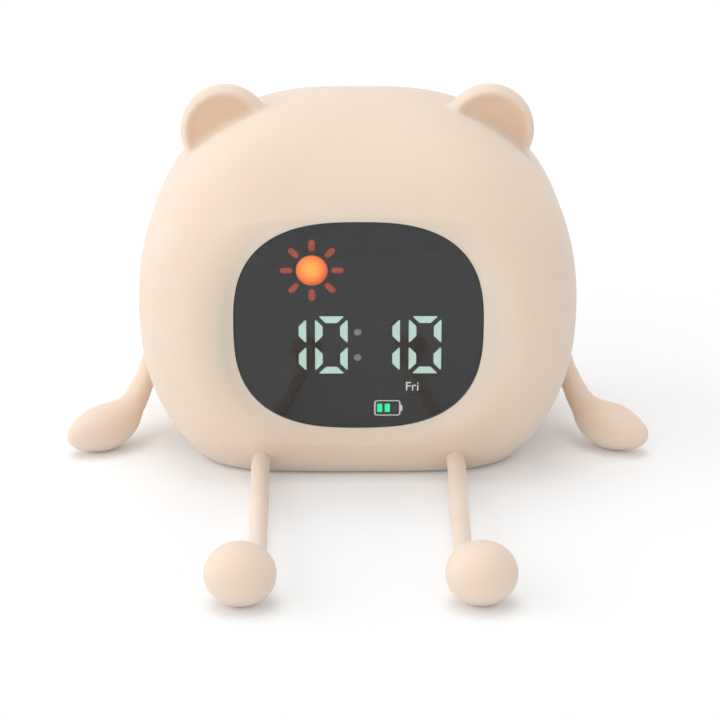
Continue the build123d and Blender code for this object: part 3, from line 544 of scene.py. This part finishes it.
def points_of(mesh):
    """A mesh's vertices, in millimetres."""
    flat = np.empty(len(mesh.vertices) * 3)
    mesh.vertices.foreach_get("co", flat)
    return flat.reshape(-1, 3) / MM


def move_points(mesh, points):
    """Puts a mesh's vertices at these places, in millimetres."""
    mesh.vertices.foreach_set("co", (points * MM).ravel())
    mesh.update()


def smooth_max(first, second, width):
    """The larger of two distances, rounded over a width where they meet."""
    blend = np.clip(width - np.abs(first - second), 0, None) / width
    return np.maximum(first, second) + blend**2 * width / 4


def smooth_min(first, second, width):
    """The smaller of two distances, rounded over a width where they meet."""
    return -smooth_max(-first, -second, width)


def smooth_step(values, low, high):
    """0 at low and 1 at high, with a soft start and end."""
    share = np.clip((values - low) / (high - low), 0, 1)
    return share * share * (3 - 2 * share)


def ray_distance(length, level):
    """Roughly how far a point lies outside a shape, along the ray from the shape's middle.

    The length is the point's own way from the middle, and the level is 1 on the surface.
    """
    return length - length / np.maximum(level, 1e-6)


def slope_of(field, points):
    """The direction in which a distance grows, by small steps."""
    step = 0.02
    slope = np.empty_like(points)
    for axis in range(3):
        ahead = points.copy()
        behind = points.copy()
        ahead[:, axis] += step
        behind[:, axis] -= step
        slope[:, axis] = (field(ahead) - field(behind)) / (2 * step)
    return slope


def settle_on(mesh, field, rounds, longest=1.2, least_steepness=0.05):
    """Moves each vertex along the slope until it lies where the distance is zero."""
    points = points_of(mesh)
    for _ in range(rounds):
        slope = slope_of(field, points)
        steepness = np.maximum((slope**2).sum(1), least_steepness)
        step = np.clip(field(points) / steepness, -longest, longest)
        points -= slope * step[:, None]
    move_points(mesh, points)


def grow_skin(piece, voxel, field):
    """Joins overlapping balls into one even mesh, relaxes it and lays it on the wanted surface."""
    relax_rounds = 4
    remesh = piece.modifiers.new("join", "REMESH")
    remesh.mode = "VOXEL"
    remesh.voxel_size = voxel * MM
    settle(piece)
    settle_on(piece.data, field, rounds=7)
    bm = bmesh.new()
    bm.from_mesh(piece.data)
    for _ in range(relax_rounds):
        bmesh.ops.smooth_vert(
            bm, verts=bm.verts, factor=0.5, use_axis_x=True, use_axis_y=True, use_axis_z=True
        )
    bm.to_mesh(piece.data)
    bm.free()
    settle_on(piece.data, field, rounds=4)


def smooth_faces(piece, sharp_degrees=40):
    """Smooth shading with crisp edges where the surface turns sharply."""
    piece.data.shade_smooth()
    piece.data.set_sharp_from_angle(angle=math.radians(sharp_degrees))


def carve(piece, cutter):
    """Cuts a closed shape out of a piece."""
    cut = piece.modifiers.new("cut", "BOOLEAN")
    cut.operation = "DIFFERENCE"
    cut.solver = "EXACT"
    cut.object = cutter
    settle(piece)
    bpy.data.objects.remove(cutter)


def carve_prism(piece, bm):
    """Cuts a closed shape that is still only drawn out of a piece."""
    carve(piece, new_piece("cutter", bm, silicone))


# ---------------------------------------------------------------------------
# The silicone skin with its ears
# ---------------------------------------------------------------------------


def body_level(offsets, inset=0.0):
    """1 on the rounded box's surface, for offsets from its middle; it grows evenly along a ray."""
    upper = offsets[:, 2] >= 0
    half_height = np.where(upper, crown_height - inset * crown_wall_share, keel_depth - inset)
    power = np.where(upper, crown_power, keel_power)
    across = np.abs(offsets[:, 0]) / (body_half_width - inset)
    along = np.abs(offsets[:, 1]) / (body_half_depth - inset)
    plan = (across**plan_power + along**plan_power) ** (1 / plan_power)
    return (plan**power + (np.abs(offsets[:, 2]) / half_height) ** power) ** (1 / power)


def body_distance(points):
    """Roughly how far a point lies outside the rounded box."""
    offsets = points - (0, 0, widest_height)
    return ray_distance(np.linalg.norm(offsets, axis=1), body_level(offsets))


def ear_distance(points):
    """How far a point lies outside the ears: round cushions with a dished front."""
    across = np.abs(points[:, 0]) - ear_half_spacing
    radial = np.hypot(across, points[:, 2] - ear_height)
    depth = points[:, 1] - ear_setback
    dish = ear_dish_depth * (1 - smooth_step(radial, ear_dish_inner, ear_dish_outer))
    thick = np.abs(depth) + np.where(depth < 0, dish, 0)
    outer_radial = radial - (ear_radius - ear_round)
    outer_thick = thick - (ear_thickness / 2 - ear_round)
    outside = np.hypot(np.maximum(outer_radial, 0), np.maximum(outer_thick, 0))
    return outside + np.minimum(np.maximum(outer_radial, outer_thick), 0) - ear_round


def flare_distance(points, low, high, power, ahead, flare):
    """Roughly how far a point lies outside the flared mouth in front of an opening."""
    half = (high - low) / 2 + opening_gap
    middle = (high + low) / 2
    across = points[:, 0] - middle[0]
    upwards = points[:, 2] - middle[2]
    level = (np.abs(across / half[0]) ** power + np.abs(upwards / half[2]) ** power) ** (1 / power)
    side = ray_distance(np.hypot(across, upwards), level)
    return (side - ahead * flare) / math.hypot(1, flare)


def skin_distance(points):
    """The skin's outside: body, flat foot, the dips round both openings and the ears."""
    body = smooth_max(body_distance(points), foot_gap - points[:, 2], floor_round)
    ahead = lens_low[1] - window_rim - points[:, 1]
    mouth = flare_distance(points, lens_low, lens_high, window_power, ahead, window_flare)
    distance = smooth_max(body, -mouth, window_soften)
    behind = points[:, 1] - panel_high[1] - panel_rim
    mouth = flare_distance(points, panel_low, panel_high, panel_power, behind, panel_flare)
    distance = smooth_max(distance, -mouth, panel_soften)
    between_faces = np.maximum(body, np.maximum(ahead, behind))
    return smooth_min(np.minimum(distance, between_faces), ear_distance(points), ear_fillet)


def body_ball(inset, floor):
    """A ball drawn out to the rounded box, moved inwards by the inset and flat at the floor."""
    bm = bmesh.new()
    bmesh.ops.create_uvsphere(bm, u_segments=96, v_segments=64, radius=1)
    offsets = np.array([vertex.co for vertex in bm.verts])
    places = offsets / body_level(offsets, inset)[:, None] + (0, 0, widest_height)
    for vertex, place in zip(bm.verts, places):
        vertex.co = (place[0], place[1], max(place[2], floor))
    return bm


def opening_prism(low, high, power, grow, near, away):
    """A closed prism of an opening's rounded outline, between two depths."""
    bm = bmesh.new()
    bmesh.ops.create_cone(bm, cap_ends=True, segments=192, radius1=1, radius2=1, depth=1)
    half = (high - low) / 2 + grow
    middle = (high + low) / 2
    for vertex in bm.verts:
        across, upwards, end = vertex.co
        level = abs(across) ** power / half[0] ** power + abs(upwards) ** power / half[2] ** power
        level **= 1 / power
        depth = near if end > 0 else away
        vertex.co = (middle[0] + across / level, depth, middle[2] + upwards / level)
    bm.normal_update()
    return bm


def base_prism():
    """The opening under the clock that the base plate fills."""
    bm = bmesh.new()
    bmesh.ops.create_cone(
        bm, cap_ends=True, segments=160, radius1=1, radius2=1, depth=2 * base_cut_height
    )
    half = (base_high - base_low) / 2 + base_gap
    for vertex in bm.verts:
        x, y, z = vertex.co
        level = abs(x / half[0]) ** base_power + abs(y / half[1]) ** base_power
        level **= 1 / base_power
        vertex.co = (x / level, y / level, z)
    return bm


def close_pinholes(mesh):
    """Closes the few tiny holes that cuts leave in a mesh."""
    bm = bmesh.new()
    bm.from_mesh(mesh)
    bmesh.ops.holes_fill(bm, edges=bm.edges, sides=4)
    bm.to_mesh(mesh)
    bm.free()


def mark_ear_tone_and_shade(mesh):
    """Marks the ears' dished fronts, which get a warmer, darker colour (partly moulded tone, partly painted shade
    of the dish), with a soft edge.
    """
    points = points_of(mesh)
    radial = np.hypot(np.abs(points[:, 0]) - ear_half_spacing, points[:, 2] - ear_height)
    ahead = smooth_step(ear_setback - points[:, 1], *ear_tone_and_shade_ahead)
    warm = 1 - smooth_step(radial, *ear_tone_and_shade_radii)
    warm *= ahead * smooth_step(body_distance(points), *ear_tone_and_shade_foot)
    marks = mesh.attributes.new("ear_front_tone_and_shade", "FLOAT", "POINT")
    marks.data.foreach_set("value", warm.astype(np.float32))


def make_skin():
    """The silicone cover: one wall of even thickness, ears included."""
    bm = body_ball(0, foot_gap)
    for side in (-1, 1):
        bmesh.ops.create_cone(
            bm,
            cap_ends=True,
            segments=64,
            radius1=ear_radius,
            radius2=ear_radius,
            depth=ear_thickness,
            matrix=Matrix.Translation((side * ear_half_spacing, ear_setback, ear_height))
            @ Matrix.Rotation(math.pi / 2, 4, "X"),
        )
    skin = new_piece("silicone_cover", bm, silicone)
    grow_skin(skin, skin_voxel, skin_distance)

    beyond = body_half_depth + cutter_reach
    room = new_piece("room", body_ball(skin_wall, skin_floor_top), silicone)
    front = (lens_low, lens_high, window_power)
    back = (panel_low, panel_high, panel_power)
    carve_prism(room, opening_prism(*front, bead_width, -beyond, tape_back - bead_gap))
    carve_prism(room, opening_prism(*back, bead_width, panel_seat + bead_gap, beyond))
    carve(skin, room)
    carve_prism(skin, opening_prism(*front, opening_gap, -beyond, -opening_cut_depth))
    carve_prism(skin, opening_prism(*back, opening_gap, opening_cut_depth, beyond))
    carve_prism(skin, base_prism())
    close_pinholes(skin.data)
    mark_ear_tone_and_shade(skin.data)
    smooth_faces(skin)
    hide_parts("silicone_skin")
    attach(skin, "main")


# ---------------------------------------------------------------------------
# Arms and legs
# ---------------------------------------------------------------------------


def smooth_path(stations, steps=6):
    """A soft curve through stations of x, y, z and radius."""
    stations = np.array(stations)
    ends = np.vstack([2 * stations[0] - stations[1], stations, 2 * stations[-1] - stations[-2]])
    path = []
    for before, start, end, after in zip(ends, ends[1:], ends[2:], ends[3:]):
        for share in np.linspace(0, 1, steps, endpoint=False):
            path.append(
                0.5
                * (
                    2 * start
                    + (end - before) * share
                    + (2 * before - 5 * start + 4 * end - after) * share**2
                    + (3 * start - before - 3 * end + after) * share**3
                )
            )
    path.append(stations[-1])
    return np.array(path)


def path_distance(points, path):
    """How far a point lies outside a bent, tapering rod."""
    nearest = np.full(len(points), np.inf)
    for start, end in zip(path, path[1:]):
        run = end[:3] - start[:3]
        share = np.clip(((points - start[:3]) @ run) / (run @ run), 0, 1)
        gap = np.linalg.norm(points - start[:3] - share[:, None] * run, axis=1)
        nearest = np.minimum(nearest, gap - start[3] - share * (end[3] - start[3]))
    return nearest


def egg_distance(points, middle, direction, half_length, half_width):
    """Roughly how far a point lies outside an egg-shaped pad along a direction."""
    offsets = points - middle
    along = offsets @ direction
    across = offsets - along[:, None] * direction
    level = np.sqrt((along / half_length) ** 2 + (across**2).sum(1) / half_width**2)
    return ray_distance(np.linalg.norm(offsets, axis=1), level)


def make_limb(name, side, path, pad, blend_width):
    """One soft limb: a bent rod that swells into its pad.

    It is drawn on the right, and mirrored for the left side.
    """
    middle, direction, half_length, half_width = pad

    def field(points):
        return smooth_min(path_distance(points, path), egg_distance(points, *pad), blend_width)

    bm = bmesh.new()
    for x, y, z, radius in path:
        bmesh.ops.create_icosphere(
            bm, subdivisions=3, radius=radius, matrix=Matrix.Translation((x, y, z))
        )
    egg = bmesh.ops.create_icosphere(bm, subdivisions=4, radius=half_width)
    stretch = Matrix.Scale(half_length / half_width, 4, direction)
    bmesh.ops.transform(bm, matrix=Matrix.Translation(middle) @ stretch, verts=egg["verts"])
    limb = new_piece(f"{name}_soft", bm, silicone)
    grow_skin(limb, limb_voxel, field)
    if side < 0:
        bm = bmesh.new()
        bm.from_mesh(limb.data)
        bmesh.ops.scale(bm, vec=(-1, 1, 1), verts=bm.verts)
        bmesh.ops.reverse_faces(bm, faces=bm.faces)
        bm.to_mesh(limb.data)
        bm.free()
    limb.data.shade_smooth()
    nodes = (name, f"{name}_root")
    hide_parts(*nodes)
    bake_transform(limb)


def right_pivot(name):
    """A right-hand joint's place, in millimetres."""
    return np.array(joints[name]["pos_m"]) / MM


def make_limbs():
    """Both arms and both legs. Stations are x, y, z and radius."""
    hip = right_pivot("right_hip")
    leg_path = smooth_path(
        [
            (23.9, -32.0, 8.6, 2.3),
            (24.5, -36.6, 5.6, 2.35),
            (hip[0], hip[1] - 0.8, 4.1, 2.35),
            (24.4, -52.0, 4.3, 2.3),
            (23.8, -75.0, 5.6, 2.2),
            (23.3, -95.0, 7.0, 2.1),
            (23.0, -106.0, 7.8, 2.05),
        ]
    )
    foot_front = box_mm("right_leg")[0][1]
    foot_middle = np.array((foot_across, foot_front + foot_half_width, foot_half_width))
    foot = (foot_middle, np.array((1.0, 0.0, 0.0)), foot_half_length, foot_half_width)

    shoulder = right_pivot("right_shoulder")
    arm_path = smooth_path(
        [
            (52.6, 4.9, 27.5, 1.5),
            (54.6, 3.7, 22.0, 2.3),
            (shoulder[0], shoulder[1], shoulder[2], 2.7),
            (57.6, -2.4, 13.2, 2.9),
            (59.6, -7.2, 9.9, 3.4),
            (63.0, -12.6, 7.2, 4.3),
            (66.4, -15.6, 6.0, 4.8),
        ]
    )
    along_hand = np.array(Vector(hand_direction).normalized())
    hand = (np.array(hand_middle), along_hand, hand_half_length, hand_half_width)

    for word, side in (("left", -1), ("right", 1)):
        make_limb(f"{word}_leg", side, leg_path, foot, foot_blend)
        make_limb(f"{word}_arm", side, arm_path, hand, hand_blend)


# ---------------------------------------------------------------------------
# Window, weekday and marks on the back
# ---------------------------------------------------------------------------


def lens_prism(grow, near, away):
    """A closed prism of the window's outline, between two depths."""
    return opening_prism(lens_low, lens_high, window_power, grow, near, away)


def make_window():
    """The smoked window: a polished plate with a softened edge, just clear of the mask behind it.

    Black print covers the plate's edge and the border behind it.
    """
    front = lens_low[1]
    back = lens_high[1] - plate_clearance
    bm = lens_prism(0.0, front, back)
    touching = 0.01
    rim = [edge for edge in bm.edges if all(abs(v.co.y - front) < touching for v in edge.verts)]
    bmesh.ops.bevel(
        bm, geom=rim, offset=plate_bevel, segments=2, profile=0.5, affect="EDGES", material=-1
    )
    window = new_piece("smoked_window", bm, finishes["window"])
    smooth_faces(window, plate_sharp_degrees)
    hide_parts("display_lens")
    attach(window, "main")

    bm = lens_prism(edge_print_gap, front + edge_print_setback, back)
    caps = [face for face in bm.faces if len(face.verts) > 4]
    bmesh.ops.delete(bm, geom=caps, context="FACES_ONLY")
    bmesh.ops.solidify(bm, geom=bm.faces[:], thickness=-edge_print_thickness)
    bmesh.ops.reverse_faces(bm, faces=bm.faces)
    edge = new_piece("window_edge_print", bm, finishes["tape"])
    smooth_faces(edge, plate_sharp_degrees)
    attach(edge, "main")

    print_front = lens_high[1] - border_ahead
    bm = lens_prism(-border_inset, print_front, print_front + border_thickness)
    border = new_piece("window_border_print", bm, finishes["mask"])
    past = 1.0
    carve_prism(border, lens_prism(-border_width, print_front - past, print_front + past))
    smooth_faces(border, plate_sharp_degrees)
    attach(border, "main")


def make_weekday():
    """The weekday: a black film with raised lettering that glows."""
    low, high = box_mm("weekday_guide")
    middle = (high + low) / 2
    bm = bmesh.new()
    bmesh.ops.create_cube(bm, size=1)
    bmesh.ops.scale(bm, vec=high - low, verts=bm.verts)
    bmesh.ops.translate(bm, vec=middle, verts=bm.verts)
    edges = bm.edges[:]
    bmesh.ops.bevel(
        bm, geom=edges, offset=film_bevel, segments=2, profile=0.5, affect="EDGES", material=-1
    )
    film = new_piece("weekday_film", bm, finishes["mask"])
    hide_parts("weekday_guide")
    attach(film, "main")

    text = bpy.data.curves.new("weekday_text", "FONT")
    text.body = "Fri"
    text.size = letter_size
    text.extrude = letter_half_thickness
    text.offset = letter_offset
    text.align_x = "CENTER"
    text.align_y = "CENTER"
    drawn = bpy.data.objects.new("weekday_text", text)
    bpy.context.scene.collection.objects.link(drawn)
    graph = bpy.context.evaluated_depsgraph_get()
    mesh = bpy.data.meshes.new_from_object(drawn.evaluated_get(graph))
    bpy.data.objects.remove(drawn)
    bm = bmesh.new()
    bm.from_mesh(mesh)
    bmesh.ops.remove_doubles(bm, verts=bm.verts, dist=1e-4)
    bmesh.ops.rotate(bm, matrix=Matrix.Rotation(math.pi / 2, 3, "X"), verts=bm.verts)
    bmesh.ops.translate(bm, vec=(middle[0], low[1] - letter_lift, middle[2]), verts=bm.verts)
    letters = new_piece("weekday_letters", bm, finishes["weekday"])
    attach(letters, "main")


def add_bar(bm, x, z, width, height, turn=0.0):
    """A flat bar of a printed mark."""
    bar = bmesh.ops.create_cube(bm, size=1)["verts"]
    bmesh.ops.scale(bm, vec=(width, mark_thickness, height), verts=bar)
    bmesh.ops.rotate(bm, matrix=Matrix.Rotation(turn, 3, "Y"), verts=bar)
    bmesh.ops.translate(bm, vec=(x, 0, z), verts=bar)


def add_ring(bm, x, z, radius, width, steps=32):
    """A flat ring of a printed mark, of short bars that just overlap."""
    reach = radius - width / 2
    length = 2 * math.pi * radius / steps + 0.02
    for step in range(steps):
        angle = 2 * math.pi * step / steps
        add_bar(bm, x + reach * math.sin(angle), z + reach * math.cos(angle), length, width, angle)


def add_disc(bm, x, z, radius):
    """A flat disc of a printed mark."""
    disc = bmesh.ops.create_cone(
        bm, cap_ends=True, segments=32, radius1=radius, radius2=radius, depth=mark_thickness
    )["verts"]
    bmesh.ops.rotate(bm, matrix=Matrix.Rotation(math.pi / 2, 3, "X"), verts=disc)
    bmesh.ops.translate(bm, vec=(x, 0, z), verts=disc)


def draw_alarm(bm):
    """A bell: a domed cup, its rim and its clapper."""
    add_disc(bm, 0, 0.25, 0.85)
    add_bar(bm, 0, -0.25, 1.7, 1.0)
    add_bar(bm, 0, -0.8, 2.4, 0.3)
    add_disc(bm, 0, -1.15, 0.3)


def draw_set(bm):
    """A clock face with two hands."""
    add_ring(bm, 0, 0, 1.35, 0.28)
    add_bar(bm, 0, 0.4, 0.26, 0.9)
    add_bar(bm, 0.3, 0, 0.7, 0.26)


def draw_minus(bm):
    """A minus sign."""
    add_bar(bm, 0, 0, 2.4, 0.42)


def draw_plus(bm):
    """A plus sign."""
    add_bar(bm, 0, 0, 2.4, 0.42)
    add_bar(bm, 0, 0, 0.42, 2.4)


def draw_light(bm, rays=8, reach=1.25):
    """A lamp's sign: a disc with rays."""
    add_disc(bm, 0, 0, 0.65)
    for step in range(rays):
        angle = 2 * math.pi * step / rays
        add_bar(bm, reach * math.sin(angle), reach * math.cos(angle), 0.24, 0.5, angle)


def make_marks():
    """The printed signs on the buttons, and the ring and bar below the power slider."""
    drawings = {
        "button_alarm": draw_alarm,
        "button_set": draw_set,
        "button_minus": draw_minus,
        "button_plus": draw_plus,
        "button_light": draw_light,
    }
    for node, draw in drawings.items():
        low, high = box_mm(node)
        place = ((low[0] + high[0]) / 2, high[1] + mark_lift, (low[2] + high[2]) / 2)
        bm = bmesh.new()
        draw(bm)
        bmesh.ops.translate(bm, vec=place, verts=bm.verts)
        mark = new_piece(f"{node}_mark", bm, ink)
        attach(mark, node)

    low, high = box_mm("power_slider")
    height = (low[2] + high[2]) / 2 - power_mark_drop
    bm = bmesh.new()
    add_ring(bm, low[0] + 2.6, height, 0.75, 0.22)
    add_bar(bm, high[0] - 0.4, height, 0.26, 1.5)
    bmesh.ops.translate(bm, vec=(0, panel_high[1] + mark_lift, 0), verts=bm.verts)
    mark = new_piece("power_marks", bm, ink)
    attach(mark, "main")


# ---------------------------------------------------------------------------
# Floor, light and camera
# ---------------------------------------------------------------------------


def ray_is_seen(tree):
    """A socket that is 1 for camera, mirror and see-through rays, and 0 for the rest."""
    rays = add_node(tree, "ShaderNodeLightPath")
    seen = rays.outputs["Is Camera Ray"]
    for kind in ("Is Glossy Ray", "Is Transmission Ray"):
        either = add_node(
            tree, "ShaderNodeMath", {0: seen, 1: rays.outputs[kind]}, operation="MAXIMUM"
        )
        seen = either.outputs["Value"]
    return seen


def make_floor():
    """A wide white table that keeps the clock's shadow."""
    bm = bmesh.new()
    bmesh.ops.create_grid(bm, x_segments=1, y_segments=1, size=floor_half_width)
    material, tree, shader = new_material(
        "white_laminate_table",
        Base_Color=linear("#f2f3f4"),
        Roughness=0.9,
        Specular_IOR_Level=0.0,
        Emission_Color=linear("#ffffff"),
    )
    glow = add_node(
        tree, "ShaderNodeMapRange", {"Value": ray_is_seen(tree), "To Max": floor_glow}
    )
    tree.links.new(glow.outputs["Result"], shader.inputs["Emission Strength"])
    floor = new_piece("floor", bm, material)


def make_world():
    """Even white light from all round; what looks at it sees plain white."""
    world = bpy.data.worlds.new("soft_room")
    bpy.context.scene.world = world
    world.use_nodes = True
    tree = world.node_tree
    background = tree.nodes["Background"]
    background.inputs["Color"].default_value = linear("#ffffff")
    strength = add_node(
        tree,
        "ShaderNodeMapRange",
        {"Value": ray_is_seen(tree), "To Min": ambient, "To Max": 1.0},
    )
    tree.links.new(strength.outputs["Result"], background.inputs["Strength"])


def make_sun(name, strength, angle, elevation, azimuth):
    """A broad, white, far lamp; azimuth 0 shines from the front, and it grows to the right."""
    lamp = bpy.data.lights.new(name, "SUN")
    lamp.energy = strength
    lamp.angle = math.radians(angle)
    sun = bpy.data.objects.new(name, lamp)
    bpy.context.scene.collection.objects.link(sun)
    sun.rotation_euler = (math.radians(90 - elevation), 0, math.radians(azimuth))


def make_camera():
    """The camera: a long lens, a little above the clock and just left of its middle."""
    camera = bpy.data.objects.new("camera", bpy.data.cameras.new("camera"))
    bpy.context.scene.collection.objects.link(camera)
    camera.data.lens = camera_lens
    camera.data.sensor_width = 36.0
    camera.data.clip_start = 0.01
    elevation = math.radians(camera_elevation)
    azimuth = math.radians(camera_azimuth)
    flat = camera_distance * math.cos(elevation)
    height = camera_target_height + camera_distance * math.sin(elevation)
    camera.location = Vector((flat * math.sin(azimuth), -flat * math.cos(azimuth), height)) * MM
    tilt = math.radians(90 - camera_elevation - camera_dip)
    camera.rotation_euler = (tilt, 0, azimuth - math.radians(camera_swing))
    bpy.context.scene.camera = camera


make_skin()
make_limbs()
make_window()
make_weekday()
make_marks()
make_floor()
make_world()
make_sun("side_lamp", strength=0.6, angle=50.0, elevation=25.0, azimuth=-90.0)
make_sun("front_lamp", strength=0.5, angle=50.0, elevation=18.0, azimuth=-42.0)
make_sun("top_lamp", strength=0.76, angle=40.0, elevation=80.0, azimuth=-150.0)
make_camera()

scene = bpy.context.scene
scene.view_settings.view_transform = "Standard"
